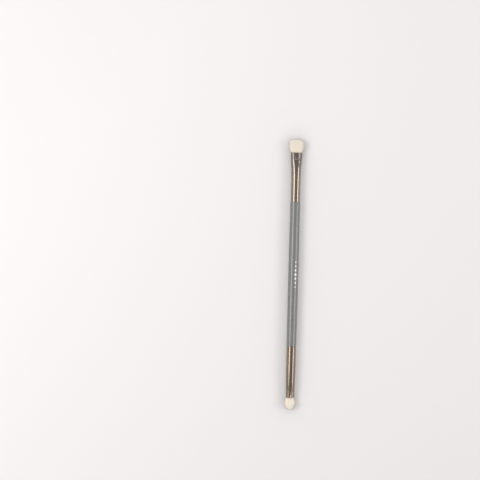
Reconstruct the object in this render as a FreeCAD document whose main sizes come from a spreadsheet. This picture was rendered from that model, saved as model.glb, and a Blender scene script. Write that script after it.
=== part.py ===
import FreeCAD, Part
import math
import os

import Sketcher

# A double ended eyeshadow brush, lying on a table as it comes to rest.
# A turned and lacquered wooden handle carries a pressed metal ferrule on a tenon at each end.
# The wide ferrule is drawn out flat and flares to a broad flat tuft. The narrow one is drawn
# down to hold a small domed tuft. A crimped panel on each flat grips the hair at the mouth.
# Each bundle of hair is tied with thread at its root and set in a plug of glue.
#
# The brush lies along Y with the wide tuft at +Y, and Z is up from the table.
# Inside the brush's own frame X is across the flats, Y is along and Z is through the flats.
# The brush is rolled about Y until the edge of the wide tuft meets the table. The handle is
# round, so it stays level.

# Millimetres. A name that starts with wide or narrow belongs to that end of the brush.
SIZES = {
    "handle_length": (90.6, "lacquered handle between the two ferrules"),
    "handle_end_dia": (6.05, "handle where it meets a ferrule"),
    "handle_belly": (0.1, "how much thicker the middle of the handle is, on the radius"),
    "handle_parallel": (34.0, "parallel middle of the handle, between its two tapers"),
    "handle_edge": (0.15, "lacquered edge of each shoulder"),
    "tenon_chamfer": (0.5, "lead-in on the end of each tenon"),
    "glue_film": (0.1, "glue between tenon and ferrule, on the radius"),
    "groove_depth": (0.25, "glue groove turned round each tenon"),
    "groove_width": (1.2, "glue groove turned round each tenon"),
    "ferrule_shoulder": (0.1, "shoulder left around each ferrule, on the radius"),
    "ferrule_wall": (0.3, "sheet thickness of both ferrules"),
    "thread_dia": (0.45, "thread that ties the hair roots"),
    "thread_pitch": (0.42, "one turn of the thread to the next"),
    "thread_bite": (0.1, "how deep the thread pulls into the hair"),
    "hair_gap": (0.04, "slack between the hair and the bore"),
    "wide_tenon_length": (9.5, "handle tenon inside the ferrule"),
    "wide_tube_spare": (0.5, "round tube beyond the tenon"),
    "wide_throat_start": (11.0, "round tube to the throat"),
    "wide_throat_width": (6.2, "outside width at the throat"),
    "wide_throat_height": (5.5, "outside height at the throat"),
    "wide_flare_length": (4.4, "throat to the end of the flare"),
    "wide_flare_width": (6.88, "outside width at the end of the flare"),
    "wide_flare_height": (4.7, "outside height at the end of the flare"),
    "wide_lip_length": (5.6, "end of the flare to the mouth"),
    "wide_mouth_width": (7.2, "outside width of the mouth"),
    "wide_mouth_height": (4.25, "outside height of the mouth"),
    "wide_crimp_length": (4.1, "crimped panel, back from the mouth"),
    "wide_crimp_width": (4.8, "crimped panel, across the flat"),
    "wide_crimp_depth": (0.28, "crimped panel below the flat"),
    "wide_crimp_shift": (0.4, "crimped panel off the middle of the flat"),
    "wide_crimp_corner": (0.9, "rounded back corners of the crimped panel"),
    "wide_hair_spread": (2.0, "tied root to where the hair fills the bore"),
    "wide_tie_length": (3.0, "tied root of the hair"),
    "wide_tie_dia": (3.8, "tied root of the hair"),
    "wide_plug_back": (1.5, "glue behind the tied root"),
    "wide_tuft_length": (8.4, "hair outside the ferrule"),
    "wide_tuft_width": (10.2, "widest part of the tuft"),
    "wide_tuft_thickness": (6.2, "thickest part of the tuft"),
    "narrow_tenon_length": (13.5, "handle tenon inside the ferrule"),
    "narrow_tube_spare": (0.5, "round tube beyond the tenon"),
    "narrow_throat_start": (9.2, "round tube to the throat"),
    "narrow_throat_width": (5.6, "outside width at the throat"),
    "narrow_throat_height": (5.2, "outside height at the throat"),
    "narrow_flare_length": (5.0, "throat to the end of the drawn length"),
    "narrow_flare_width": (5.38, "outside width at the end of the drawn length"),
    "narrow_flare_height": (4.55, "outside height at the end of the drawn length"),
    "narrow_lip_length": (4.2, "end of the drawn length to the mouth"),
    "narrow_mouth_width": (5.25, "outside width of the mouth"),
    "narrow_mouth_height": (4.2, "outside height of the mouth"),
    "narrow_crimp_length": (3.8, "crimped panel, back from the mouth"),
    "narrow_crimp_width": (2.8, "crimped panel, across the flat"),
    "narrow_crimp_depth": (0.28, "crimped panel below the flat"),
    "narrow_crimp_shift": (0.8, "crimped panel off the middle of the flat"),
    "narrow_crimp_corner": (0.7, "rounded back corners of the crimped panel"),
    "narrow_hair_spread": (2.0, "tied root to where the hair fills the bore"),
    "narrow_tie_length": (3.0, "tied root of the hair"),
    "narrow_tie_dia": (3.2, "tied root of the hair"),
    "narrow_plug_back": (1.5, "glue behind the tied root"),
    "narrow_tuft_length": (7.4, "hair outside the ferrule"),
    "narrow_tuft_width": (7.2, "widest part of the tuft"),
    "narrow_tuft_thickness": (5.4, "thickest part of the tuft"),
}

# The wide end points along +Y and the narrow end along -Y.
END_SIGNS = {"wide": 1, "narrow": -1}

THREAD_TURNS = 3
# Where the crest of a turn of thread stands, as a share of its pitch.
CREST_SHARE = 0.5

# The shape of each tuft, as shares of its length: where its sections stand, and where its width
# and its thickness start to round over towards the tip. The hair fans out as far as FAN_SHARE.
# TIP_SHARE leaves a small blunt end on the dome.
TUFT_SHARES = {
    "wide": {
        "stations": (0, 0.2, 0.65, 0.8, 0.93, 1),
        "width_dome": 0.78,
        "thickness_dome": 0.65,
    },
    "narrow": {
        "stations": (0, 0.3, 0.6, 0.82, 1),
        "width_dome": 0.45,
        "thickness_dome": 0.42,
    },
}
FAN_SHARE = 0.65
DOME_POWER = 2.2
TIP_SHARE = 0.99

# Two lengths nearer than this are the same.
NEAR = 1e-4

# How far a cutting tool runs past the face that it starts from.
CLEAR_OF = 1

# How far the floor of a crimping die runs each way from the mouth, in lengths of the panel.
REACH_RATIO = 2

# The floor of a crimp is this much flatter than the flat it is pressed into.
CROWN_RATIO = 1.15

# The bores and the hair inside them are laid out with this many flat sides.
SIDES = 16

doc = FreeCAD.newDocument("eyeshadow_brush")


def make_sheet():
    sizes = doc.addObject("Spreadsheet::Sheet", "Sizes")
    for row, (alias, (value, note)) in enumerate(SIZES.items(), start=1):
        sizes.set(f"A{row}", alias)
        sizes.set(f"B{row}", str(value))
        sizes.setAlias(f"B{row}", alias)
        sizes.set(f"C{row}", note)
    doc.recompute()
    return sizes


sheet = make_sheet()


def cells(words, end=""):
    """Turns the words of a sum into cells of the sheet.

    A word with a dot before it belongs to the end in hand, so for the wide end
    .tuft_width is the cell wide_tuft_width.
    """
    bound = []
    for word in words.split():
        if word[0] == "." and word[1].isalpha():
            bound.append(f"Sizes.{end}_{word[1:]}")
        elif word in SIZES:
            bound.append(f"Sizes.{word}")
        else:
            bound.append(word)
    return " ".join(bound)


# Sums that several pieces share. Lengths are measured from the middle of the handle.
HANDLE_RADIUS = "( handle_end_dia / 2 + handle_belly )"
TUBE_RADIUS = "( handle_end_dia / 2 - ferrule_shoulder )"
BORE_RADIUS = "( handle_end_dia / 2 - ferrule_shoulder - ferrule_wall )"
TENON_RADIUS = "( handle_end_dia / 2 - ferrule_shoulder - ferrule_wall - glue_film )"
SEAT = "handle_length / 2"
GROOVE_FLOOR = f"( {TENON_RADIUS} - groove_depth )"
TENON_END = SEAT + " + .tenon_length"
TUBE_END = TENON_END + " + .tube_spare"
THROAT = TUBE_END + " + .throat_start"
FLARE = THROAT + " + .flare_length"
MOUTH = FLARE + " + .lip_length"
CRIMP_START = MOUTH + " - .crimp_length"
HAIR_START = THROAT + " - .hair_spread"
ROOT_END = HAIR_START + " - .tie_length"
PLUG_END = ROOT_END + " - .plug_back"
TUFT_TIP = MOUTH + " + .tuft_length"

# Where the brush lies: its middle over the origin, its belly on the table and its flats rolled
# until the edge of the wide tuft is as low as the belly.
MIDDLE = f"( {cells(TUFT_TIP, 'narrow')} - ( {cells(TUFT_TIP, 'wide')} ) ) / 2"
OVER_TABLE = f"( {HANDLE_RADIUS} ^ 2 - ( wide_tuft_thickness / 2 ) ^ 2 )"
FLATNESS = "( ( wide_tuft_width / 2 ) ^ 2 - ( wide_tuft_thickness / 2 ) ^ 2 )"
ROLL = cells(f"asin( sqrt( max( 0 ; {OVER_TABLE} ) / {FLATNESS} ) )")


def lying(roll):
    return f"placement(vector(0; {MIDDLE}; {cells(HANDLE_RADIUS)}); rotation(vector(0; 1; 0); {roll}))"


def lay_down(item, inside=""):
    """Places an object on the lying brush, at its own place inside the brush if it has one."""
    item.setExpression("Placement", lying(ROLL) + (f" * {inside}" if inside else ""))


def worked_out(holder, expression):
    value = holder.evalExpression(expression)
    return float(getattr(value, "Value", value))


def new_body(label):
    body = doc.addObject("PartDesign::Body", label)
    body.Label = label
    lay_down(body)
    return body


def origin_feature(body, role):
    return [item for item in body.Origin.OriginFeatures if item.Role == role][0]


def new_sketch(body, name, role, offset=""):
    sketch = body.newObject("Sketcher::SketchObject", name)
    sketch.AttachmentSupport = [(origin_feature(body, role), "")]
    sketch.MapMode = "FlatFace"
    if offset:
        sketch.setExpression("AttachmentOffset.Base.z", offset)
    return sketch


def cross_section(body, name, along):
    """A sketch across the brush, at a distance along it. Its own normal points back along Y."""
    return new_sketch(body, name, "XZ_Plane", f"-( {along} )")


def bind(sketch, driven):
    """Adds constraints to a sketch, each with its name and the sum that drives it."""
    added = sketch.addConstraint([constraint for constraint, _, _ in driven])
    for index, (_, name, expression) in zip(added, driven):
        sketch.renameConstraint(index, name)
        sketch.setExpression(f"Constraints.{name}", expression)


def pin(sketch, geometry, name, across, along):
    """What holds the first point of an edge at two distances from the origin."""
    held = []
    for kind, axis, expression in (("DistanceX", "across", across), ("DistanceY", "along", along)):
        value = worked_out(sketch, expression)
        constraint = Sketcher.Constraint(kind, -1, 1, geometry, 1, value)
        held.append((constraint, f"{name}_{axis}", expression))
    return held


def draw_circle(sketch, radius):
    circle = Part.Circle(FreeCAD.Vector(), FreeCAD.Vector(0, 0, 1), worked_out(sketch, radius))
    edge = sketch.addGeometry(circle)
    sketch.addConstraint(Sketcher.Constraint("Coincident", edge, 3, -1, 1))
    bind(sketch, [(Sketcher.Constraint("Radius", edge, circle.Radius), "radius", radius)])


def draw_oval(sketch, width, height):
    """Draws an oval on the origin, its longer axis along X, as four quarters that meet square.

    The quarters of a round one end on the axes, and those of a flat one on the next quarter.
    """
    half_width = worked_out(sketch, width) / 2
    half_height = worked_out(sketch, height) / 2
    if half_width - half_height < NEAR:
        oval = Part.Circle(FreeCAD.Vector(), FreeCAD.Vector(0, 0, 1), half_width)
        quarter = Part.ArcOfCircle
    else:
        long_end = FreeCAD.Vector(half_width, 0, 0)
        oval = Part.Ellipse(long_end, FreeCAD.Vector(0, half_height, 0), FreeCAD.Vector())
        quarter = Part.ArcOfEllipse
    ends = [(f"( {width} ) / 2", "0"), ("0", f"( {height} ) / 2")]
    ends += [(f"( {width} ) / -2", "0"), ("0", f"( {height} ) / -2")]
    joins = []
    driven = []
    for number, (across, along) in enumerate(ends):
        start = number * math.pi / 2
        sketch.addGeometry(quarter(oval, start, start + math.pi / 2))
        joins.append(Sketcher.Constraint("Coincident", number, 3, -1, 1))
        if quarter is Part.ArcOfCircle:
            axis = number % 2 - 2
            joins.append(Sketcher.Constraint("PointOnObject", number, 2, axis))
        else:
            joins.append(Sketcher.Constraint("Coincident", number, 2, (number + 1) % 4, 1))
        driven += pin(sketch, number, f"end_{number}", across, along)
    sketch.addConstraint(joins)
    bind(sketch, driven)


def draw_sides(sketch, width, height):
    """Draws the same oval with flat sides."""
    corners = []
    for side in range(SIDES):
        angle = side * 2 * math.pi / SIDES
        across = f"( {width} ) / 2 * {math.cos(angle):.6f}"
        along = f"( {height} ) / 2 * {math.sin(angle):.6f}"
        corners.append((across, along))
    draw_outline(sketch, corners)


def draw_outline(sketch, corners):
    """Draws a closed outline of straight sides whose corners are pinned to pairs of sums."""
    points = [sketch_point(sketch, corner) for corner in corners]
    count = len(points)
    joins = []
    driven = []
    for number, (across, along) in enumerate(corners):
        sketch.addGeometry(Part.LineSegment(points[number], points[(number + 1) % count]))
        joins.append(Sketcher.Constraint("Coincident", number, 2, (number + 1) % count, 1))
        driven += pin(sketch, number, f"corner_{number}", across, along)
    sketch.addConstraint(joins)
    bind(sketch, driven)


def sketch_point(sketch, corner):
    across, along = corner
    return FreeCAD.Vector(worked_out(sketch, across), worked_out(sketch, along), 0)


def revolve(body, kind, name, sketch):
    feature = body.newObject(kind, name)
    feature.Profile = sketch
    feature.ReferenceAxis = (origin_feature(body, "Y_Axis"), [""])
    feature.Angle = 360
    return feature


def boolean(kind, name, base, tool):
    item = doc.addObject(f"Part::{kind}", name)
    item.Label = name
    item.Base = base
    item.Tool = tool
    return item


def build_handle():
    """The handle is one turned piece: a parallel middle, a slight taper and a tenon each way."""
    body = new_body("handle")
    body.setExpression("Placement", lying(0))
    profile = new_sketch(body, "handle_profile", "XY_Plane")
    thickest = cells(HANDLE_RADIUS)
    parallel = cells("handle_parallel / 2")
    lead = cells("tenon_chamfer")
    outline = []
    for end, sign in END_SIGNS.items():
        tip = cells(TENON_END, end)
        groove = [
            cells(f"{SEAT} + .tenon_length / 2 {way} groove_width / 2", end) for way in "-+"
        ]
        half = [
            (thickest, parallel),
            (cells("handle_end_dia / 2"), cells(f"{SEAT} - handle_edge")),
            (cells("( handle_end_dia / 2 - handle_edge )"), cells(SEAT)),
            (cells(TENON_RADIUS), cells(SEAT)),
            (cells(TENON_RADIUS), groove[0]),
            (cells(GROOVE_FLOOR), groove[0]),
            (cells(GROOVE_FLOOR), groove[1]),
            (cells(TENON_RADIUS), groove[1]),
            (cells(TENON_RADIUS), f"( {tip} - {lead} )"),
            (f"( {cells(TENON_RADIUS)} - {lead} )", tip),
            ("0", tip),
        ]
        run = [(across, f"{sign} * ( {along} )") for across, along in half]
        outline = outline + run if sign > 0 else run[::-1] + outline
    draw_outline(profile, outline)
    revolve(body, "PartDesign::Revolution", "handle_turned", profile)
    return body


def ferrule_form(end, sign, name, wall, draw):
    """The solid form of a ferrule without its crimp: a round tube drawn out to an oval mouth."""
    body = new_body(name)
    foot = cross_section(body, f"{name}_foot", f"{sign} * {cells(SEAT)}")
    draw_circle(foot, cells(f"{TUBE_RADIUS} - {wall}"))
    tube = body.newObject("PartDesign::Pad", f"{name}_tube")
    tube.Profile = foot
    tube.Reversed = sign > 0
    tube.setExpression("Length", cells(".tenon_length + .tube_spare", end))
    ovals = [("tube_end", TUBE_END, f"2 * {TUBE_RADIUS}", f"2 * {TUBE_RADIUS}")]
    for place, along in (("throat", THROAT), ("flare", FLARE), ("mouth", MOUTH)):
        ovals.append((place, along, f".{place}_width", f".{place}_height"))
    sections = []
    for place, along, width, height in ovals:
        section = cross_section(body, f"{name}_{place}", f"{sign} * ( {cells(along, end)} )")
        inside = [cells(f"( {size} - 2 * {wall} )", end) for size in (width, height)]
        draw(section, *inside)
        sections.append(section)
    drawn = body.newObject("PartDesign::AdditiveLoft", f"{name}_drawn")
    drawn.Profile = sections[0]
    drawn.Sections = sections[1:]
    drawn.Ruled = True
    return body


def crimp_die(end, sign, name, wall):
    """What the crimp takes off a form: a panel on each flat with a floor that keeps its crown."""
    plan = new_body(f"{name}_plan")
    half_width = cells(f".crimp_width / 2 + {wall}", end)
    back = f"{sign} * ( {cells(CRIMP_START, end)} - {cells(wall)} )"
    front = f"{sign} * ( {cells(MOUTH, end)} + {CLEAR_OF} )"
    outline = new_sketch(plan, f"{name}_outline", "XY_Plane")
    shift = cells(".crimp_shift", end)
    sides = (f"( {shift} - ( {half_width} ) )", f"( {shift} + {half_width} )")
    draw_outline(
        outline, [(sides[0], back), (sides[1], back), (sides[1], front), (sides[0], front)]
    )
    block = plan.newObject("PartDesign::Pad", f"{name}_block")
    block.Profile = outline
    block.Midplane = True
    block.setExpression("Length", cells(".mouth_height * 2", end))
    doc.recompute()
    back_corners = [
        f"Edge{number}"
        for number, edge in enumerate(block.Shape.Edges, start=1)
        if edge.BoundBox.YLength < NEAR
        and edge.BoundBox.XLength < NEAR
        and abs(edge.BoundBox.YMin - worked_out(sheet, back)) < NEAR
    ]
    corners = plan.newObject("PartDesign::Fillet", f"{name}_corners")
    corners.Base = (block, back_corners)
    corners.setExpression("Radius", cells(".crimp_corner", end))
    plan.Tip = corners
    crown = f".mouth_width * .mouth_width / .mouth_height / 2 * {CROWN_RATIO}"
    floor = ".mouth_height / 2 - .crimp_depth"
    shells = []
    for side, toward in (("top", 1), ("bottom", -1)):
        shell = doc.addObject("Part::Cylinder", f"{name}_{side}")
        shell.setExpression("Radius", cells(f"{crown} - {wall}", end))
        shell.setExpression("Height", cells(f".crimp_length * {REACH_RATIO} * 2", end))
        start = f"{sign} * ( {cells(MOUTH, end)} - {cells(f'.crimp_length * {REACH_RATIO}', end)} )"
        centre = f"{toward} * ( {cells(floor, end)} - {cells(crown, end)} )"
        turn = f"rotation(vector(1; 0; 0); {-90 * sign})"
        lay_down(shell, f"placement(vector(0; {start}; {centre}); {turn})")
        shells.append(shell)
    core = boolean("Common", f"{name}_core", *shells)
    return boolean("Cut", name, plan, core)


def slab(end, sign, name, start, finish):
    """A block across the whole brush between two distances along it."""
    block = doc.addObject("Part::Box", name)
    width = cells(".mouth_width * 2", end)
    length = f"( {cells(finish, end)} - ( {cells(start, end)} ) )"
    block.setExpression("Length", width)
    block.setExpression("Width", length)
    block.setExpression("Height", width)
    low = cells(start, end) if sign > 0 else f"-( {cells(finish, end)} )"
    side = f"-( {width} ) / 2"
    lay_down(block, f"placement(vector({side}; {low}; {side}); rotation(vector(0; 0; 1); 0))")
    return block


def build_tenon_glue(end, sign, handle):
    """The glue is what is left of the bore round the tenon, so it fills the grooves as well."""
    fill = doc.addObject("Part::Cylinder", f"{end}_tenon_fill")
    fill.setExpression("Radius", cells(BORE_RADIUS))
    fill.setExpression("Height", cells(".tenon_length", end))
    turn = f"rotation(vector(1; 0; 0); {-90 * sign})"
    lay_down(fill, f"placement(vector(0; {sign} * {cells(SEAT)}; 0); {turn})")
    return boolean("Cut", f"{end}_tenon_glue", fill, handle)


def build_thread(end, sign):
    """The thread goes round the tied root in touching turns: one band, with a ridge a turn."""
    body = new_body(f"{end}_tuft_thread")
    strand = new_sketch(body, f"{end}_thread_strand", "XY_Plane")
    middle = thread_middle(end, sign)
    floor = cells(".tie_dia / 2 - thread_bite", end)
    valley = cells(".tie_dia / 2 - thread_bite + thread_dia / 2", end)
    crest = cells(".tie_dia / 2 - thread_bite + thread_dia", end)
    pitch = cells("thread_pitch")
    ridge = ((0, valley), (CREST_SHARE, crest))
    corners = [(floor, f"{middle} - {THREAD_TURNS / 2} * {pitch}")]
    for turn in range(THREAD_TURNS):
        for share, height in ridge:
            place = f"{middle} + ( {turn + share - THREAD_TURNS / 2} ) * {pitch}"
            corners.append((height, place))
    corners.append((valley, f"{middle} + {THREAD_TURNS / 2} * {pitch}"))
    corners.append((floor, f"{middle} + {THREAD_TURNS / 2} * {pitch}"))
    draw_outline(strand, corners)
    revolve(body, "PartDesign::Revolution", f"{end}_thread_turns", strand)
    return body


def thread_middle(end, sign):
    return f"{sign} * ( {cells(HAIR_START, end)} - {cells('.tie_length / 2', end)} )"


def dome(share, start):
    """Full size up to the start of the dome, then round over towards nothing at the tip."""
    if share <= start:
        return 1
    rise = (share - start) / (1 - start)
    return (1 - rise**DOME_POWER) ** (1 / DOME_POWER)


def tuft_ovals(end):
    """The sections of a bundle of hair: round at its root, then the bore's, then the fan's."""
    slack = "2 * ferrule_wall - 2 * hair_gap"
    grip_width = f"( .mouth_width - {slack} )"
    grip_height = f"( .mouth_height - {slack} - 2 * .crimp_depth )"
    crimp_share = "( .crimp_length + ferrule_wall ) / .lip_length"
    crimp_width = f"{grip_width} + ( .flare_width - .mouth_width ) * {crimp_share}"
    ovals = [
        (ROOT_END, ".tie_dia", ".tie_dia"),
        (HAIR_START, ".tie_dia", ".tie_dia"),
        (THROAT, f".throat_width - {slack}", f".throat_height - {slack}"),
        (FLARE, f".flare_width - {slack}", f".flare_height - {slack}"),
        (f"{CRIMP_START} - ferrule_wall", crimp_width, grip_height),
    ]
    look = TUFT_SHARES[end]
    for share in look["stations"]:
        spread = 1 - max(0, 1 - share / FAN_SHARE) ** 2
        wide_dome = dome(share * TIP_SHARE, look["width_dome"])
        high_dome = dome(share * TIP_SHARE, look["thickness_dome"])
        width = f"{wide_dome} * ( {grip_width} + {spread} * ( .tuft_width - {grip_width} ) )"
        height = f"{high_dome} * ( {grip_height} + {spread} * ( .tuft_thickness - {grip_height} ) )"
        ovals.append((f"{MOUTH} + {share} * .tuft_length", width, height))
    return ovals


def build_tuft(end, sign):
    """One bundle of hair: a round tied root, and a loft through the bore to the domed tip."""
    body = new_body(f"{end}_tuft")
    sections = []
    for number, (along, width, height) in enumerate(tuft_ovals(end)):
        section = cross_section(body, f"{end}_hair_{number}", f"{sign} * ( {cells(along, end)} )")
        draw_sides(section, cells(f"( {width} )", end), cells(f"( {height} )", end))
        sections.append(section)
    hair = body.newObject("PartDesign::AdditiveLoft", f"{end}_hair")
    hair.Profile = sections[0]
    hair.Sections = sections[1:]
    hair.Ruled = True
    doc.recompute()
    waist = new_sketch(body, f"{end}_waist_profile", "XY_Plane")
    middle = thread_middle(end, sign)
    half = cells(f"{THREAD_TURNS / 2} * thread_pitch")
    floor = cells(".tie_dia / 2 - thread_bite", end)
    outside = cells(".tie_dia / 2 + thread_bite", end)
    draw_outline(
        waist,
        [
            (floor, f"{middle} - {half}"),
            (outside, f"{middle} - {half}"),
            (outside, f"{middle} + {half}"),
            (floor, f"{middle} + {half}"),
        ],
    )
    revolve(body, "PartDesign::Groove", f"{end}_waist", waist)
    return body


def build_plug(end, sign, bore, tuft, thread):
    """The glue plug fills the bore round the tied root and a little way behind it."""
    block = slab(end, sign, f"{end}_plug_slab", PLUG_END, HAIR_START)
    fill = boolean("Common", f"{end}_plug_fill", bore, block)
    round_hair = boolean("Cut", f"{end}_plug_round_hair", fill, tuft)
    return boolean("Cut", f"{end}_glue_plug", round_hair, thread)


def build_end(end, sign, handle):
    outside = ferrule_form(end, sign, f"{end}_outside", "0", draw_oval)
    bore = ferrule_form(end, sign, f"{end}_bore", "ferrule_wall", draw_sides)
    outside_die = crimp_die(end, sign, f"{end}_outside_die", "0")
    bore_die = crimp_die(end, sign, f"{end}_bore_die", "ferrule_wall")
    pressed = boolean("Cut", f"{end}_pressed", outside, outside_die)
    pressed_bore = boolean("Cut", f"{end}_pressed_bore", bore, bore_die)
    ferrule = boolean("Cut", f"{end}_ferrule", pressed, pressed_bore)
    thread = build_thread(end, sign)
    tuft = build_tuft(end, sign)
    plug = build_plug(end, sign, bore, tuft, thread)
    glue = build_tenon_glue(end, sign, handle)
    return [ferrule, tuft, thread, plug, glue]


handle = build_handle()
pieces = [handle]
for end, sign in END_SIGNS.items():
    pieces += build_end(end, sign, handle)
doc.recompute()

for item in doc.Objects:
    if "Invalid" in item.State or "Error" in item.State:
        raise RuntimeError(f"{item.Label} failed: {item.getStatusString()}")
for piece in pieces:
    if piece.Shape.isNull() or not piece.Shape.isValid():
        raise RuntimeError(f"{piece.Label} has no valid shape")

os.makedirs("parts", exist_ok=True)
for piece in pieces:
    piece.Shape.exportStep(os.path.join("parts", f"{piece.Label}.step"))
    print(f"{piece.Label}: {piece.Shape.Volume:.1f} mm3, {len(piece.Shape.Solids)} solid")
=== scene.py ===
import math
import random

import bmesh
import bpy
from mathutils import Matrix, Vector


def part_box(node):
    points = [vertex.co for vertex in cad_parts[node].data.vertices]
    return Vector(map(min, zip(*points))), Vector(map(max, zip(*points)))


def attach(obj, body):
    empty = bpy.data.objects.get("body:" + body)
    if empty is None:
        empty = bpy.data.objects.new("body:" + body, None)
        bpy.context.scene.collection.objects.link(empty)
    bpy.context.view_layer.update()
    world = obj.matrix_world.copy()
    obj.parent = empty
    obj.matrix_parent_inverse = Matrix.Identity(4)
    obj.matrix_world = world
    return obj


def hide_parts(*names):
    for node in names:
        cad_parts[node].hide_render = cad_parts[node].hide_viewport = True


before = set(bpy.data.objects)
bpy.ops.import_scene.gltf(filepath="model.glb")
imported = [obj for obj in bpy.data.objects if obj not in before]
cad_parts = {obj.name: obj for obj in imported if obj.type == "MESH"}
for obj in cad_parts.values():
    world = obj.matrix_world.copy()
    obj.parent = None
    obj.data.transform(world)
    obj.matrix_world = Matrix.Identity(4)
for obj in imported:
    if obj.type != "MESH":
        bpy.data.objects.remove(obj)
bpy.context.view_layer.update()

mm = 0.001

# How the brush lies: on the middle of its handle and the edge of its wide tuft.
lie = {
    "handleRadius": 3.125 * mm,
    "tuftWidth": 10.2 * mm,
    "tuftThickness": 6.2 * mm,
}


def restingRoll():
    radius = lie["handleRadius"] ** 2
    across = (lie["tuftWidth"] / 2) ** 2
    through = (lie["tuftThickness"] / 2) ** 2
    return math.asin(math.sqrt((radius - through) / (across - through)))


roll = restingRoll()
lying = Matrix.Translation((0, 0, lie["handleRadius"])) @ Matrix.Rotation(roll, 4, "Y")

# Where things stand along the brush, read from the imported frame.
ends = {}
for endName, way in (("wide", 1), ("narrow", -1)):
    ferruleLow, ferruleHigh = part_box(f"{endName}_ferrule")
    tuftLow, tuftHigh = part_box(f"{endName}_tuft")
    glueLow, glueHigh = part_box(f"{endName}_tenon_glue")
    if way > 0:
        seat, mouth, tip, tenonTip = ferruleLow.y, ferruleHigh.y, tuftHigh.y, glueHigh.y
    else:
        seat, mouth, tip, tenonTip = ferruleHigh.y, ferruleLow.y, tuftLow.y, glueLow.y
    ends[endName] = {"way": way, "seat": seat, "mouth": mouth, "tip": tip, "tenonTip": tenonTip}
print("frame read, roll", round(math.degrees(roll), 2))


# shape helpers

def mixValue(low, high, share):
    return low + (high - low) * share


def easeStep(low, high, value):
    share = min(1.0, max(0.0, (value - low) / (high - low)))
    return share * share * (3 - 2 * share)


def smoothThrough(stations, place):
    # monotone curve through (place, value) stations
    if place <= stations[0][0]:
        return stations[0][1]
    if place >= stations[-1][0]:
        return stations[-1][1]
    slopes = [
        (after[1] - before[1]) / (after[0] - before[0])
        for before, after in zip(stations, stations[1:])
    ]
    tangents = [slopes[0]]
    for before, after in zip(slopes, slopes[1:]):
        tangents.append(0.0 if before * after <= 0 else 2 * before * after / (before + after))
    tangents.append(slopes[-1])
    for index, (before, after) in enumerate(zip(stations, stations[1:])):
        if place <= after[0]:
            width = after[0] - before[0]
            t = (place - before[0]) / width
            return (
                (2 * t**3 - 3 * t**2 + 1) * before[1]
                + (t**3 - 2 * t**2 + t) * width * tangents[index]
                + (-2 * t**3 + 3 * t**2) * after[1]
                + (t**3 - t**2) * width * tangents[index + 1]
            )


def ringSurface(name, rings, capped):
    # rings of equal count, joined in turn; capped closes both ends, else the last meets the first
    count = len(rings[0])
    points = [point for ring in rings for point in ring]
    faces = []
    pairs = list(zip(range(len(rings)), range(1, len(rings))))
    if not capped:
        pairs.append((len(rings) - 1, 0))
    for here, there in pairs:
        for step in range(count):
            following = (step + 1) % count
            faces.append((
                here * count + step, here * count + following,
                there * count + following, there * count + step,
            ))
    if capped:
        for base, flip in ((0, True), ((len(rings) - 1) * count, False)):
            hub = len(points)
            ring = points[base:base + count]
            points.append(sum(ring, Vector()) / count)
            for step in range(count):
                face = (hub, base + step, base + (step + 1) % count)
                faces.append(face[::-1] if flip else face)
    mesh = bpy.data.meshes.new(name)
    mesh.from_pydata(points, [], faces)
    return finishMesh(name, mesh)


def finishMesh(name, mesh):
    shaped = bmesh.new()
    shaped.from_mesh(mesh)
    bmesh.ops.recalc_face_normals(shaped, faces=shaped.faces)
    shaped.transform(lying)
    for face in shaped.faces:
        face.smooth = True
    shaped.to_mesh(mesh)
    shaped.free()
    piece = bpy.data.objects.new(name, mesh)
    bpy.context.scene.collection.objects.link(piece)
    return piece


def dress(piece, material, slotName, *nodes):
    piece.data.materials.append(material)
    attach(piece, "root")
    if nodes:
        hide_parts(*nodes)


# shader helpers

def newMaterial(name):
    material = bpy.data.materials.new(name)
    material.use_nodes = True
    return material, material.node_tree, material.node_tree.nodes["Principled BSDF"]


def addNode(tree, kind, **settings):
    node = tree.nodes.new(kind)
    for key, value in settings.items():
        setattr(node, key, value)
    return node


def feed(tree, socket, source):
    if isinstance(source, bpy.types.NodeSocket):
        tree.links.new(source, socket)
    else:
        socket.default_value = source


def calc(tree, operation, first, second=0.0, third=0.0, clamp=False):
    node = addNode(tree, "ShaderNodeMath", operation=operation, use_clamp=clamp)
    for socket, source in zip(node.inputs, (first, second, third)):
        feed(tree, socket, source)
    return node.outputs[0]


def blendColours(tree, share, first, second):
    node = addNode(tree, "ShaderNodeMix", data_type="RGBA")
    feed(tree, node.inputs["Factor"], share)
    feed(tree, node.inputs["A"], first)
    feed(tree, node.inputs["B"], second)
    return node.outputs["Result"]


def bandOf(tree, value, low, high, outLow, outHigh):
    node = addNode(tree, "ShaderNodeMapRange")
    for socket, source in zip(node.inputs, (value, low, high, outLow, outHigh)):
        feed(tree, socket, source)
    return node.outputs[0]


def bumpFrom(tree, height, strength, distance):
    node = addNode(tree, "ShaderNodeBump")
    node.inputs["Strength"].default_value = strength
    node.inputs["Distance"].default_value = distance
    tree.links.new(height, node.inputs["Height"])
    return node.outputs["Normal"]


def newGroup(name, inputs, outputs):
    tree = bpy.data.node_groups.new(name, "ShaderNodeTree")
    for label, kind, value in inputs:
        socket = tree.interface.new_socket(name=label, in_out="INPUT", socket_type=kind)
        if value is not None:
            socket.default_value = value
    for label, kind in outputs:
        tree.interface.new_socket(name=label, in_out="OUTPUT", socket_type=kind)
    return tree, addNode(tree, "NodeGroupInput"), addNode(tree, "NodeGroupOutput")


def useGroup(tree, group, **values):
    node = addNode(tree, "ShaderNodeGroup", node_tree=group)
    for label, value in values.items():
        feed(tree, node.inputs[label], value)
    return node


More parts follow.
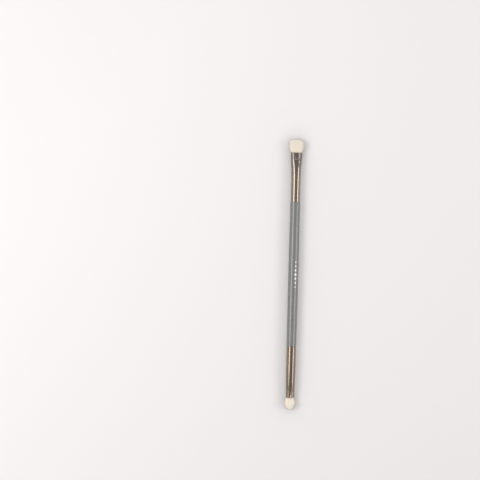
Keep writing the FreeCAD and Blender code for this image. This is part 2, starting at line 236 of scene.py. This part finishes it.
def makeBrushSpace():
    # where a point is in the brush's own frame: across the flats, along, and through the flats
    tree, _, end = newGroup(
        "brushSpace", [],
        [("Place", "NodeSocketVector"), ("Across", "NodeSocketFloat"),
         ("Along", "NodeSocketFloat"), ("Through", "NodeSocketFloat")],
    )
    place = addNode(tree, "ShaderNodeTexCoord")
    turned = addNode(tree, "ShaderNodeVectorRotate", rotation_type="Y_AXIS")
    turned.inputs["Center"].default_value = (0, 0, lie["handleRadius"])
    turned.inputs["Angle"].default_value = -roll
    tree.links.new(place.outputs["Object"], turned.inputs["Vector"])
    lowered = addNode(tree, "ShaderNodeVectorMath", operation="SUBTRACT")
    lowered.inputs[1].default_value = (0, 0, lie["handleRadius"])
    tree.links.new(turned.outputs[0], lowered.inputs[0])
    apart = addNode(tree, "ShaderNodeSeparateXYZ")
    tree.links.new(lowered.outputs[0], apart.inputs[0])
    tree.links.new(lowered.outputs[0], end.inputs["Place"])
    for label, socket in zip(("Across", "Along", "Through"), apart.outputs):
        tree.links.new(socket, end.inputs[label])
    return tree


grainLook = {
    "scale": 1200.0,
    "detail": 4.0,
    "roughness": 0.6,
    "maskBand": (0.3, 0.7),  # where most of the mask lies
}


def makeGrain():
    # mottling that all the finishes share, as a mask round a half
    tree, start, end = newGroup(
        "finishGrain",
        [("Place", "NodeSocketVector", None),
         ("Scale", "NodeSocketFloat", grainLook["scale"]),
         ("Stretch", "NodeSocketVector", (1.0, 1.0, 1.0)),
         ("Detail", "NodeSocketFloat", grainLook["detail"])],
        [("Mask", "NodeSocketFloat")],
    )
    stretched = addNode(tree, "ShaderNodeVectorMath", operation="MULTIPLY")
    tree.links.new(start.outputs["Place"], stretched.inputs[0])
    tree.links.new(start.outputs["Stretch"], stretched.inputs[1])
    mottle = addNode(tree, "ShaderNodeTexNoise")
    mottle.inputs["Roughness"].default_value = grainLook["roughness"]
    tree.links.new(stretched.outputs[0], mottle.inputs["Vector"])
    tree.links.new(start.outputs["Scale"], mottle.inputs["Scale"])
    tree.links.new(start.outputs["Detail"], mottle.inputs["Detail"])
    tree.links.new(mottle.outputs["Fac"], end.inputs["Mask"])
    return tree


brushSpace = makeBrushSpace()
finishGrain = makeGrain()

# handle

handleLook = {
    "endRadius": 3.025 * mm,
    "middleRadius": lie["handleRadius"],
    "taperFrom": 6.8 * mm,  # from the middle of the handle
    "rimRound": 0.15 * mm,
    "tenonRadius": 2.525 * mm,
    "tenonChamfer": 0.5 * mm,
    "segments": 144,
    "barrelSteps": 44,
    "rimSteps": 5,
    "lacquerDark": (0.228, 0.230, 0.224, 1),
    "lacquerLight": (0.270, 0.272, 0.265, 1),
    "speckleScale": 2600.0,
    "speckleMix": (0.7, -0.1),
    "cloudScale": 180.0,
    "cloudStretch": (1.0, 0.35, 1.0),
    "cloudMix": 0.5,
    "metallic": 0.38,
    "specular": 0.25,
    "edgeTint": (0.3, 0.3, 0.3, 1),
    "roughness": (0.25, 0.30),
    "bump": (0.1, 0.006 * mm),
    "printWhite": (0.86, 0.86, 0.84, 1),
    "printTurn": math.radians(17.4),
    "printPitch": 2.6 * mm,
    "printReach": 3,
    "printLong": 1.15 * mm,
    "printWide": 0.85 * mm,
    "printShrink": 0.14,
    "printRaise": 0.4,
}


def barrelRadius(place):
    high = (ends["wide"]["seat"] - ends["narrow"]["seat"]) / 2
    middle = (ends["wide"]["seat"] + ends["narrow"]["seat"]) / 2
    share = easeStep(handleLook["taperFrom"], high, abs(place - middle))
    return mixValue(handleLook["middleRadius"], handleLook["endRadius"], share)


def shoulderProfile(end):
    # from the tenon's tip over its chamfer to the rounded shoulder
    look = handleLook
    run = [
        (end["tenonTip"], look["tenonRadius"] - look["tenonChamfer"]),
        (end["tenonTip"] - end["way"] * look["tenonChamfer"], look["tenonRadius"]),
        (end["seat"] + end["way"] * look["rimRound"] / 2, look["tenonRadius"]),
        (end["seat"], look["tenonRadius"] + look["rimRound"] / 2),
    ]
    for step in range(look["rimSteps"] + 1):
        turn = math.pi / 2 * step / look["rimSteps"]
        run.append((
            end["seat"] - end["way"] * look["rimRound"] * (1 - math.cos(turn)),
            look["endRadius"] - look["rimRound"] * (1 - math.sin(turn)),
        ))
    return run


def handleProfile():
    low = ends["narrow"]["seat"] + handleLook["rimRound"]
    high = ends["wide"]["seat"] - handleLook["rimRound"]
    steps = handleLook["barrelSteps"]
    places = [mixValue(low, high, step / steps) for step in range(1, steps)]
    barrel = [(place, barrelRadius(place)) for place in places]
    return shoulderProfile(ends["narrow"]) + barrel + shoulderProfile(ends["wide"])[::-1]


def makeLacquer():
    look = handleLook
    material, tree, shader = newMaterial("satinLacquer")
    space = useGroup(tree, brushSpace)
    speckle = useGroup(tree, finishGrain, Scale=look["speckleScale"])
    cloud = useGroup(tree, finishGrain, Scale=look["cloudScale"], Stretch=look["cloudStretch"])
    for grain in (speckle, cloud):
        tree.links.new(space.outputs["Place"], grain.inputs["Place"])
    share = calc(tree, "MULTIPLY_ADD", speckle.outputs["Mask"], *look["speckleMix"])
    share = calc(tree, "MULTIPLY_ADD", cloud.outputs["Mask"], look["cloudMix"], share, clamp=True)
    coat = blendColours(tree, share, look["lacquerDark"], look["lacquerLight"])
    # a row of small white diamonds, the middle one largest
    cell = calc(tree, "DIVIDE", space.outputs["Along"], look["printPitch"])
    nearest = calc(tree, "ROUND", cell)
    off = calc(tree, "MULTIPLY", calc(tree, "SUBTRACT", cell, nearest), look["printPitch"])
    long = calc(tree, "DIVIDE", calc(tree, "ABSOLUTE", off), look["printLong"])
    turn = calc(tree, "ARCTAN2", space.outputs["Across"], space.outputs["Through"])
    turn = calc(tree, "SUBTRACT", turn, look["printTurn"])
    turn = calc(tree, "MULTIPLY", turn, look["middleRadius"])
    wide = calc(tree, "DIVIDE", calc(tree, "ABSOLUTE", turn), look["printWide"])
    rank = calc(tree, "ABSOLUTE", nearest)
    size = calc(tree, "MULTIPLY_ADD", rank, -look["printShrink"], 1.0)
    inside = calc(tree, "LESS_THAN", calc(tree, "ADD", long, wide), size)
    inRow = calc(tree, "LESS_THAN", rank, look["printReach"] + 0.5)
    ink = calc(tree, "MULTIPLY", inside, inRow)
    coat = blendColours(tree, ink, coat, look["printWhite"])
    tree.links.new(coat, shader.inputs["Base Color"])
    flake = calc(tree, "MULTIPLY_ADD", ink, -look["metallic"], look["metallic"])
    tree.links.new(flake, shader.inputs["Metallic"])
    rough = bandOf(tree, cloud.outputs["Mask"], *grainLook["maskBand"], *look["roughness"])
    tree.links.new(rough, shader.inputs["Roughness"])
    skin = calc(tree, "MULTIPLY_ADD", ink, look["printRaise"], speckle.outputs["Mask"])
    tree.links.new(bumpFrom(tree, skin, *look["bump"]), shader.inputs["Normal"])
    shader.inputs["Specular IOR Level"].default_value = look["specular"]
    shader.inputs["Specular Tint"].default_value = look["edgeTint"]
    return material


def makeHandle():
    count = handleLook["segments"]
    turns = [2 * math.pi * step / count for step in range(count)]
    rings = [
        [Vector((radius * math.cos(turn), place, radius * math.sin(turn))) for turn in turns]
        for place, radius in handleProfile()
    ]
    return ringSurface("handleBody", rings, capped=True)


dress(makeHandle(), makeLacquer(), "handle_lacquer", "handle")
print("handle turned")

# ferrules

ferruleLook = {
    "segments": 240,
    "wall": 0.3 * mm,
    "lipRound": 0.07 * mm,
    "seatRound": 0.05 * mm,
    "roundSteps": 4,
    "fineStep": 0.07 * mm,
    "coarseStep": 0.6 * mm,
    "bronzeDark": (0.285, 0.232, 0.188, 1),
    "bronzeLight": (0.345, 0.286, 0.236, 1),
    # painted shade: a darker bronze that the base colour fades to towards the wide mouth, where the
    # flattened tube looks dark
    "bronzeMouthShade": (0.205, 0.178, 0.163, 1),
    "bronzeNarrow": (0.255, 0.197, 0.147, 1),
    "mouthShadeFade": (16 * mm, 3 * mm, 0.85),  # before the wide mouth, and how far it goes
    "narrowFade": (-20 * mm, -30 * mm, 0.9),  # along the brush, and how far it goes
    "ringScale": 420.0,
    "ringStretch": (0.12, 9.0, 0.12),
    "ringMix": (0.5, -0.05),
    "cloudScale": 160.0,
    "cloudMix": 0.6,
    "roughness": (0.17, 0.22),
    "bump": (0.01, 0.002 * mm),
    "coatWeight": 0.8,
    "coatRoughness": 0.12,
    "edgeTint": (0.62, 0.58, 0.54, 1),
    "pressedFade": (5.4 * mm, 3.9 * mm),  # before the wide mouth
    "pressedRoughness": 0.33,
    "pressedCoat": 0.3,
}
# half sizes are pairs of a place and a size in mm, from the handle's shoulder to the mouth
wideFerrule = {
    "halfWidths": [(0, 2.925), (10, 2.925), (21, 3.10), (25.4, 3.44), (31, 3.60)],
    "halfHeights": [(0, 2.925), (10, 2.925), (21, 2.75), (25.4, 2.35), (31, 2.125)],
    "crimpLong": 4.1 * mm,
    "crimpLeft": -1.8 * mm,
    "crimpRight": 2.9 * mm,
    "crimpDeep": 0.28 * mm,
    "crimpCrown": 5.0 * mm,
    "levelTo": 0.0,
    "leftSoft": 1.1 * mm,
    "rightSoft": 0.45 * mm,
    "backSoft": 0.3 * mm,
}
narrowFerrule = {
    "halfWidths": [(0, 2.925), (14, 2.925), (23.2, 2.80), (28.2, 2.69), (32.4, 2.625)],
    "halfHeights": [(0, 2.925), (14, 2.925), (23.2, 2.60), (28.2, 2.275), (32.4, 2.10)],
    "crimpLong": 3.8 * mm,
    "crimpLeft": -0.2 * mm,
    "crimpRight": 2.35 * mm,
    "crimpDeep": 0.28 * mm,
    "crimpCrown": 1.8 * mm,
    "levelTo": 0.75 * mm,
    "leftSoft": 0.75 * mm,
    "rightSoft": 0.4 * mm,
    "backSoft": 0.3 * mm,
}


def crimpShare(look, across, fromMouth):
    # nothing outside the crimped panel and one on its floor
    share = 1.0
    for inside, soft in (
        (across - look["crimpLeft"], look["leftSoft"]),
        (look["crimpRight"] - across, look["rightSoft"]),
        (look["crimpLong"] - fromMouth, look["backSoft"]),
    ):
        share *= min(1.0, max(0.0, inside / soft))
    return share


def ferruleRing(look, length, place, inset):
    # one ring: the oval there, less the wall or a rounded lip, with the crimp pressed into its flats
    halfWidth = smoothThrough(look["halfWidths"], place / mm) * mm - inset
    halfHeight = smoothThrough(look["halfHeights"], place / mm) * mm - inset
    crown = look["crimpCrown"]
    top = look["halfHeights"][-1][1] * mm - look["crimpDeep"] - inset
    ring = []
    for step in range(ferruleLook["segments"]):
        turn = 2 * math.pi * step / ferruleLook["segments"]
        across = halfWidth * math.cos(turn)
        through = halfHeight * math.sin(turn)
        share = crimpShare(look, across, length - place)
        if share > 0:
            aside = min(max(across - look["levelTo"], 0.0), crown)
            floor = top - crown + math.sqrt(crown**2 - aside**2)
            pressed = min(abs(through), max(floor, 0.0))
            through = math.copysign(mixValue(abs(through), pressed, share), through)
        ring.append((across, place, through))
    return ring


def makeFerrule(endName, look):
    end = ends[endName]
    length = abs(end["mouth"] - end["seat"])
    shape = ferruleLook
    places = [0.0]
    while places[-1] < length - shape["lipRound"]:
        nearCrimp = places[-1] > length - look["crimpLong"] - shape["fineStep"]
        step = shape["fineStep"] if nearCrimp else shape["coarseStep"]
        places.append(min(places[-1] + step, length - shape["lipRound"]))
    foot, lip, wall = shape["seatRound"], shape["lipRound"], shape["wall"]
    turns = [math.pi / 2 * step / shape["roundSteps"] for step in range(shape["roundSteps"] + 1)]
    quarter = [(1 - math.sin(turn), 1 - math.cos(turn)) for turn in turns]
    rings = []
    for falling, rising in quarter:  # rounded foot on the handle's shoulder
        rings.append(ferruleRing(look, length, foot * rising, foot * falling))
    rings += [ferruleRing(look, length, place, 0) for place in places[1:]]
    for falling, rising in quarter[1:]:  # outer half of the lip
        rings.append(ferruleRing(look, length, length - lip * falling, lip * rising))
    for falling, rising in quarter:  # inner half of the lip
        rings.append(ferruleRing(look, length, length - lip * rising, wall - lip * falling))
    rings += [ferruleRing(look, length, place, wall) for place in places[::-1]]
    placed = [
        [Vector((across, end["seat"] + end["way"] * along, through)) for across, along, through in ring]
        for ring in rings
    ]
    return ringSurface(f"{endName}FerruleShell", placed, capped=False)


def makeBronze():
    look = ferruleLook
    material, tree, shader = newMaterial("bronzeAnodised")
    space = useGroup(tree, brushSpace)
    along = space.outputs["Along"]
    rings = useGroup(tree, finishGrain, Scale=look["ringScale"], Stretch=look["ringStretch"])
    cloud = useGroup(tree, finishGrain, Scale=look["cloudScale"])
    for grain in (rings, cloud):
        tree.links.new(space.outputs["Place"], grain.inputs["Place"])
    share = calc(tree, "MULTIPLY_ADD", rings.outputs["Mask"], *look["ringMix"])
    share = calc(tree, "MULTIPLY_ADD", cloud.outputs["Mask"], look["cloudMix"], share, clamp=True)
    coat = blendColours(tree, share, look["bronzeDark"], look["bronzeLight"])
    # painted shade: the base colour darkens towards the wide mouth
    mouth = ends["wide"]["mouth"]
    begin, full, most = look["mouthShadeFade"]
    mouthShade = bandOf(tree, along, mouth - begin, mouth - full, 0.0, most)
    coat = blendColours(tree, mouthShade, coat, look["bronzeMouthShade"])
    begin, full, most = look["narrowFade"]
    atNarrow = bandOf(tree, along, begin, full, 0.0, most)
    coat = blendColours(tree, atNarrow, coat, look["bronzeNarrow"])
    tree.links.new(coat, shader.inputs["Base Color"])
    # the crimping jaws leave the wide mouth less bright than the drawn tube
    begin, full = look["pressedFade"]
    pressed = bandOf(tree, along, mouth - begin, mouth - full, 0.0, 1.0)
    rough = bandOf(tree, rings.outputs["Mask"], *grainLook["maskBand"], *look["roughness"])
    rough = bandOf(tree, pressed, 0.0, 1.0, rough, look["pressedRoughness"])
    tree.links.new(rough, shader.inputs["Roughness"])
    coatShare = bandOf(tree, pressed, 0.0, 1.0, look["coatWeight"], look["pressedCoat"])
    tree.links.new(coatShare, shader.inputs["Coat Weight"])
    tree.links.new(bumpFrom(tree, rings.outputs["Mask"], *look["bump"]), shader.inputs["Normal"])
    shader.inputs["Metallic"].default_value = 1.0
    shader.inputs["Specular Tint"].default_value = look["edgeTint"]
    shader.inputs["Coat Roughness"].default_value = look["coatRoughness"]
    return material


bronze = makeBronze()
dress(makeFerrule("wide", wideFerrule), bronze, "ferrule_metal", "wide_ferrule")
dress(makeFerrule("narrow", narrowFerrule), bronze, "ferrule_metal", "narrow_ferrule")
print("ferrules drawn")

# tufts

hairLook = {
    "strands": 4000,
    "outerShare": 0.62,
    "outerLow": 0.80,
    "innerLow": 0.0,
    "strandRadius": 0.055 * mm,
    "tipRadius": 0.016 * mm,
    "bends": (-0.26, 0.0, 0.11, 0.32, 0.56, 0.75, 0.87, 0.95, 1.0),  # shares of the tuft's length
    "wander": 0.05 * mm,
    "waves": 5,
    "waveShare": 0.5,
    "uneven": 0.45 * mm,
    "unevenPower": 1.5,
    "domePower": 2.2,
    "domeEnd": 1.012,
    "domeLeast": 0.02,
    "fanEnd": 0.65,
    "slopeStep": 0.01,
    "coreShrink": 0.9,
    "coreEnd": 0.98,
    "corePower": 1.6,
    "coreTone": 0.5,
    "coreSeeThrough": 0.7,
    "coreRings": 30,
    "coreSegments": 72,
    "softness": 0.7,
    "seeThrough": 0.95,
    "creamRoot": (0.96, 0.87, 0.73, 1),
    "creamTip": (0.98, 0.91, 0.79, 1),
    "creamDeep": (0.93, 0.80, 0.62, 1),
    "tipReach": 0.9,
    "lockScale": 900.0,
    "lockStretch": (1.0, 0.06, 1.0),
    "lockMix": 0.5,
    "toneMix": 0.35,
    "deepMix": 0.45,
    "roughness": (0.5, 0.7),
    "sheen": 0.4,
    "specular": 0.3,
}
wideTuft = {
    "gripWidth": 3.25 * mm,
    "gripHeight": 1.50 * mm,
    "fanWidth": 5.05 * mm,
    "fanHeight": 3.04 * mm,
    "widthDome": 0.78,
    "heightDome": 0.6,
    "seed": 11,
}
narrowTuft = {
    "gripWidth": 2.30 * mm,
    "gripHeight": 1.48 * mm,
    "fanWidth": 3.58 * mm,
    "fanHeight": 2.65 * mm,
    "widthDome": 0.45,
    "heightDome": 0.42,
    "seed": 23,
}


def dome(share, start):
    # how much of the bundle's width is left where it closes over towards its tip
    if share <= start:
        return 1.0
    power = hairLook["domePower"]
    rise = min(1.0, (share - start) / (hairLook["domeEnd"] - start))
    return max(hairLook["domeLeast"], 1 - rise**power) ** (1 / power)


def tuftHalves(look, share):
    # half width and half height of the bundle at this share of the tuft
    spread = 1 - max(0.0, 1 - max(0.0, share) / hairLook["fanEnd"]) ** 2
    wide = mixValue(look["gripWidth"], look["fanWidth"], spread) * dome(share, look["widthDome"])
    high = mixValue(look["gripHeight"], look["fanHeight"], spread) * dome(share, look["heightDome"])
    return wide, high


def bundleNormal(end, look, length, share, turn):
    # which way the outside of the bundle faces there
    further = hairLook["slopeStep"]
    wide, high = tuftHalves(look, share)
    wideOn, highOn = tuftHalves(look, share + further)
    nearX, nearZ = math.cos(turn), math.sin(turn)
    rise = ((wideOn / wide - 1) * nearX**2 + (highOn / high - 1) * nearZ**2) / (further * length)
    facing = Vector((nearX / wide, -end["way"] * rise, nearZ / high)).normalized()
    return lying.to_3x3() @ facing


def makeStrands(endName, look):
    end = ends[endName]
    length = abs(end["tip"] - end["mouth"])
    luck = random.Random(look["seed"])
    corners = [math.pi / 3, math.pi, -math.pi / 3]  # one side of each hair faces out of the bundle
    last = len(hairLook["bends"]) - 1
    points, faces, notes = [], [], []
    for strand in range(hairLook["strands"]):
        outer = luck.random() < hairLook["outerShare"]
        low = hairLook["outerLow"] if outer else hairLook["innerLow"]
        radius = math.sqrt(luck.uniform(low**2, 1.0))
        turn = luck.uniform(0, 2 * math.pi)
        reach = 1.0 - luck.random() ** hairLook["unevenPower"] * hairLook["uneven"] / length
        tone = luck.random()
        phase = luck.uniform(0, 2 * math.pi)
        lean = (luck.gauss(0, 1), luck.gauss(0, 1))
        first = len(points)
        for bend, step in enumerate(hairLook["bends"]):
            share = step * reach
            halfWidth, halfHeight = tuftHalves(look, share)
            stray = hairLook["wander"] * max(0.0, share)
            wave = hairLook["waves"] * step + phase
            swayX = stray * (lean[0] + hairLook["waveShare"] * math.sin(wave))
            swayZ = stray * (lean[1] + hairLook["waveShare"] * math.cos(wave))
            x = radius * math.cos(turn) * halfWidth + swayX
            z = radius * math.sin(turn) * halfHeight + swayZ
            y = end["mouth"] + end["way"] * share * length
            note = (tone, max(0.0, share), bundleNormal(end, look, length, share, turn))
            thick = mixValue(hairLook["strandRadius"], hairLook["tipRadius"], step ** 2)
            outward = math.atan2(math.sin(turn) / halfHeight, math.cos(turn) / halfWidth)
            for corner in corners if bend < last else (None,):
                swing = thick if corner is not None else 0.0
                around = outward + (corner or 0.0)
                points.append((x + swing * math.cos(around), y, z + swing * math.sin(around)))
                notes.append(note)
        faces.append((first, first + 1, first + 2))
        for bend in range(last - 1):
            here = first + 3 * bend
            for side in range(3):
                following = (side + 1) % 3
                faces.append((here + side, here + 3 + side, here + 3 + following, here + following))
        here = first + 3 * (last - 1)
        for side in range(3):
            faces.append((here + side, here + 3, here + (side + 1) % 3))
    mesh = bpy.data.meshes.new(f"{endName}TuftHair")
    mesh.from_pydata(points, [], faces)
    return noteHair(finishMesh(f"{endName}TuftHair", mesh), notes)


def noteHair(piece, notes):
    tones, reaches, facings = zip(*notes)
    for label, values in (("hairTone", tones), ("hairReach", reaches)):
        layer = piece.data.attributes.new(label, "FLOAT", "POINT")
        layer.data.foreach_set("value", values)
    layer = piece.data.attributes.new("hairFacing", "FLOAT_VECTOR", "POINT")
    layer.data.foreach_set("vector", [value for facing in facings for value in facing])
    return piece


def makeCore(endName, look):
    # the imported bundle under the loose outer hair
    end = ends[endName]
    length = abs(end["tip"] - end["mouth"])
    rings, notes = [], []
    for number in range(hairLook["coreRings"]):
        step = number / (hairLook["coreRings"] - 1)
        closing = 1 - (1 - step) ** hairLook["corePower"]
        share = mixValue(hairLook["bends"][0], hairLook["coreEnd"], closing)
        alike = share * hairLook["domeEnd"] / hairLook["coreEnd"]
        halfWidth, halfHeight = (half * hairLook["coreShrink"] for half in tuftHalves(look, alike))
        ring = []
        for side in range(hairLook["coreSegments"]):
            turn = 2 * math.pi * side / hairLook["coreSegments"]
            ring.append(Vector((
                halfWidth * math.cos(turn), end["mouth"] + end["way"] * share * length,
                halfHeight * math.sin(turn),
            )))
            facing = bundleNormal(end, look, length, share, turn)
            notes.append((hairLook["coreTone"], max(0.0, share), facing))
        rings.append(ring)
    # the hubs of the two end caps
    notes += [(hairLook["coreTone"], reach, Vector((0, end["way"], 0))) for reach in (0.0, 1.0)]
    return noteHair(ringSurface(f"{endName}TuftCore", rings, capped=True), notes)


def makeHairMaterial(name, seeThrough):
    look = hairLook
    material, tree, shader = newMaterial(name)
    space = useGroup(tree, brushSpace)
    tone = addNode(tree, "ShaderNodeAttribute", attribute_name="hairTone")
    reach = addNode(tree, "ShaderNodeAttribute", attribute_name="hairReach")
    locks = useGroup(tree, finishGrain, Scale=look["lockScale"], Stretch=look["lockStretch"])
    tree.links.new(space.outputs["Place"], locks.inputs["Place"])
    toTip = bandOf(tree, reach.outputs["Fac"], 0.0, look["tipReach"], 0.0, 1.0)
    cream = blendColours(tree, toTip, look["creamRoot"], look["creamTip"])
    deep = calc(tree, "MULTIPLY", tone.outputs["Fac"], look["toneMix"])
    deep = calc(tree, "MULTIPLY_ADD", locks.outputs["Mask"], look["lockMix"], deep, clamp=True)
    deep = calc(tree, "MULTIPLY", deep, look["deepMix"])
    cream = blendColours(tree, deep, cream, look["creamDeep"])
    tree.links.new(cream, shader.inputs["Base Color"])
    rough = bandOf(tree, tone.outputs["Fac"], 0.0, 1.0, *look["roughness"])
    tree.links.new(rough, shader.inputs["Roughness"])
    # each hair is lit partly as itself and partly as the bundle that it lies in
    facing = addNode(tree, "ShaderNodeAttribute", attribute_name="hairFacing")
    own = addNode(tree, "ShaderNodeNewGeometry")
    soft = addNode(tree, "ShaderNodeMix", data_type="VECTOR")
    feed(tree, soft.inputs["Factor"], look["softness"])
    tree.links.new(own.outputs["Normal"], soft.inputs[4])  # 4 and 5 are its two vectors
    tree.links.new(facing.outputs["Vector"], soft.inputs[5])
    unit = addNode(tree, "ShaderNodeVectorMath", operation="NORMALIZE")
    tree.links.new(soft.outputs[1], unit.inputs[0])
    tree.links.new(unit.outputs[0], shader.inputs["Normal"])
    # light passes partly through the hair, as it does through real hair
    path = addNode(tree, "ShaderNodeLightPath")
    passing = calc(tree, "MAXIMUM", path.outputs["Is Shadow Ray"], path.outputs["Is Diffuse Ray"])
    tree.links.new(calc(tree, "MULTIPLY_ADD", passing, -seeThrough, 1.0), shader.inputs["Alpha"])
    shader.inputs["Sheen Weight"].default_value = look["sheen"]
    shader.inputs["Specular IOR Level"].default_value = look["specular"]
    return material


packedHair = makeHairMaterial("packedHair", hairLook["coreSeeThrough"])
looseHair = makeHairMaterial("looseHair", hairLook["seeThrough"])
for endName, look in (("wide", wideTuft), ("narrow", narrowTuft)):
    dress(makeCore(endName, look), packedHair, "hair", f"{endName}_tuft")
    dress(makeStrands(endName, look), looseHair, "hair")
print("tufts bound")

# pieces inside the ferrules

threadLook = {
    "dark": (0.50, 0.43, 0.33, 1),
    "light": (0.72, 0.66, 0.54, 1),
    "scale": 3000.0,
    "stretch": (1.0, 3.0, 1.0),
    "roughness": 0.85,
    "bump": (0.3, 0.05 * mm),
}
glueLook = {
    "dark": (0.55, 0.42, 0.20, 1),
    "light": (0.72, 0.60, 0.36, 1),
    "scale": 500.0,
    "stretch": (1.0, 1.0, 1.0),
    "roughness": 0.22,
    "bump": (0.3, 0.05 * mm),
}


def makeInsideMaterial(name, look):
    material, tree, shader = newMaterial(name)
    space = useGroup(tree, brushSpace)
    grain = useGroup(tree, finishGrain, Scale=look["scale"], Stretch=look["stretch"])
    tree.links.new(space.outputs["Place"], grain.inputs["Place"])
    tint = blendColours(tree, grain.outputs["Mask"], look["dark"], look["light"])
    tree.links.new(tint, shader.inputs["Base Color"])
    tree.links.new(bumpFrom(tree, grain.outputs["Mask"], *look["bump"]), shader.inputs["Normal"])
    shader.inputs["Roughness"].default_value = look["roughness"]
    return material


threadFinish = makeInsideMaterial("waxedThread", threadLook)
glueFinish = makeInsideMaterial("amberGlue", glueLook)
for nodeName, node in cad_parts.items():
    finish = threadFinish if "thread" in nodeName else glueFinish if "glue" in nodeName else None
    if finish:
        node.data.materials.clear()
        node.data.materials.append(finish)
print("inside pieces finished")

# floor, light and camera

stageLook = {
    "size": 6.0,
    "tiles": 8,
    "paper": (0.834, 0.822, 0.820, 1),
    "paperPale": (0.846, 0.834, 0.832, 1),
    "grainScale": 9.0,
    # painted light: the paper's colour is scaled paler towards the left and the far side
    "paintedLightLeft": 0.26,
    "paintedLightFar": 0.2,
    "paintedLightLeast": 0.93,
    "paintedLightMost": 1.05,
    "roughness": 0.9,
    "specular": 0.1,
}
lampLook = {
    "leftLamp": {
        "side": -1, "zenith": 43, "slide": 0.042, "distance": 0.75,
        "wide": 0.30, "long": 0.515, "power": 1.72,
    },
    "rightLamp": {
        "side": 1, "zenith": 54, "slide": -0.024, "distance": 0.75,
        "wide": 0.24, "long": 0.45, "power": 1.13,
    },
}
skyLook = {
    "upward": ((0.0, 0.68), (0.1, 0.69), (0.25, 0.51), (0.5, 0.49), (0.8, 0.43), (1.0, 0.40)),
    "endward": ((0.0, 0.0), (0.3, 0.0), (0.6, 0.6), (1.0, 0.7)),
    "tint": (1.0, 0.985, 0.975),
}
cameraLook = {
    "frameWidth": 0.3021,
    "sensor": 36.0,
    "height": 0.70,
    "lean": math.radians(1.57),
    "brushRight": 53.3 / 480,
    "brushBelow": 34.4 / 480,
}


def makeFloor():
    look = stageLook
    tiles = look["tiles"]
    mesh = bpy.data.meshes.new("paperFloor")
    shaped = bmesh.new()
    bmesh.ops.create_grid(shaped, x_segments=tiles, y_segments=tiles, size=look["size"] / 2)
    shaped.to_mesh(mesh)
    shaped.free()
    floor = bpy.data.objects.new("paperFloor", mesh)
    bpy.context.scene.collection.objects.link(floor)
    material, tree, shader = newMaterial("palePaper")
    place = addNode(tree, "ShaderNodeTexCoord")
    grain = useGroup(tree, finishGrain, Scale=look["grainScale"])
    tree.links.new(place.outputs["Object"], grain.inputs["Place"])
    tint = blendColours(tree, grain.outputs["Mask"], look["paper"], look["paperPale"])
    # painted light: a little paler towards the left and the far side, as light that falls off across
    # the paper
    apart = addNode(tree, "ShaderNodeSeparateXYZ")
    tree.links.new(place.outputs["Object"], apart.inputs[0])
    shade = calc(tree, "MULTIPLY_ADD", apart.outputs[0], -look["paintedLightLeft"], 1.0)
    shade = calc(tree, "MULTIPLY_ADD", apart.outputs[1], look["paintedLightFar"], shade)
    shade = calc(tree, "MINIMUM", shade, look["paintedLightMost"])
    shade = calc(tree, "MAXIMUM", shade, look["paintedLightLeast"])
    shaded = addNode(tree, "ShaderNodeVectorMath", operation="SCALE")
    tree.links.new(tint, shaded.inputs[0])
    tree.links.new(shade, shaded.inputs["Scale"])
    tree.links.new(shaded.outputs[0], shader.inputs["Base Color"])
    shader.inputs["Roughness"].default_value = look["roughness"]
    shader.inputs["Specular IOR Level"].default_value = look["specular"]
    mesh.materials.append(material)


def makeLamp(name, look):
    data = bpy.data.lights.new(name, "AREA")
    data.shape = "RECTANGLE"
    data.size = look["wide"]
    data.size_y = look["long"]
    data.energy = look["power"]
    lamp = bpy.data.objects.new(name, data)
    tilt = Matrix.Rotation(look["side"] * math.radians(look["zenith"]), 4, "Y")
    lamp.matrix_world = tilt @ Matrix.Translation((0, look["slide"], look["distance"]))
    bpy.context.scene.collection.objects.link(lamp)


def curveOf(tree, value, stations):
    ramp = addNode(tree, "ShaderNodeFloatCurve")
    curve = ramp.mapping.curves[0]
    curve.points[0].location = stations[0]
    curve.points[1].location = stations[-1]
    for station in stations[1:-1]:
        curve.points.new(*station)
    for point in curve.points:
        point.handle_type = "VECTOR"
    ramp.mapping.update()
    tree.links.new(value, ramp.inputs["Value"])
    return ramp.outputs[0]


def makeSky():
    world = bpy.data.worlds.new("studio")
    bpy.context.scene.world = world
    world.use_nodes = True
    tree = world.node_tree
    sky = tree.nodes["Background"]
    place = addNode(tree, "ShaderNodeTexCoord")
    apart = addNode(tree, "ShaderNodeSeparateXYZ")
    tree.links.new(place.outputs["Generated"], apart.inputs[0])
    upward = curveOf(tree, calc(tree, "ABSOLUTE", apart.outputs[2]), skyLook["upward"])
    endward = curveOf(tree, calc(tree, "ABSOLUTE", apart.outputs[1]), skyLook["endward"])
    tree.links.new(calc(tree, "ADD", upward, endward), sky.inputs["Strength"])
    sky.inputs["Color"].default_value = (*skyLook["tint"], 1)


def makeCamera():
    look = cameraLook
    data = bpy.data.cameras.new("camera")
    data.sensor_width = look["sensor"]
    data.lens = look["sensor"] * look["height"] / look["frameWidth"]
    camera = bpy.data.objects.new("camera", data)
    turned = Matrix.Rotation(look["lean"], 3, "Z")
    right, up = turned @ Vector((1, 0, 0)), turned @ Vector((0, 1, 0))
    middle = Vector((0, 0, lie["handleRadius"]))
    middle -= right * look["brushRight"] * look["frameWidth"]
    middle += up * look["brushBelow"] * look["frameWidth"]
    camera.matrix_world = (
        Matrix.Translation(middle + Vector((0, 0, look["height"]))) @ turned.to_4x4()
    )
    bpy.context.scene.collection.objects.link(camera)
    bpy.context.scene.camera = camera


makeFloor()
makeSky()
for name, look in lampLook.items():
    makeLamp(name, look)
makeCamera()
bpy.context.scene.view_settings.view_transform = "Standard"
print("stage set")
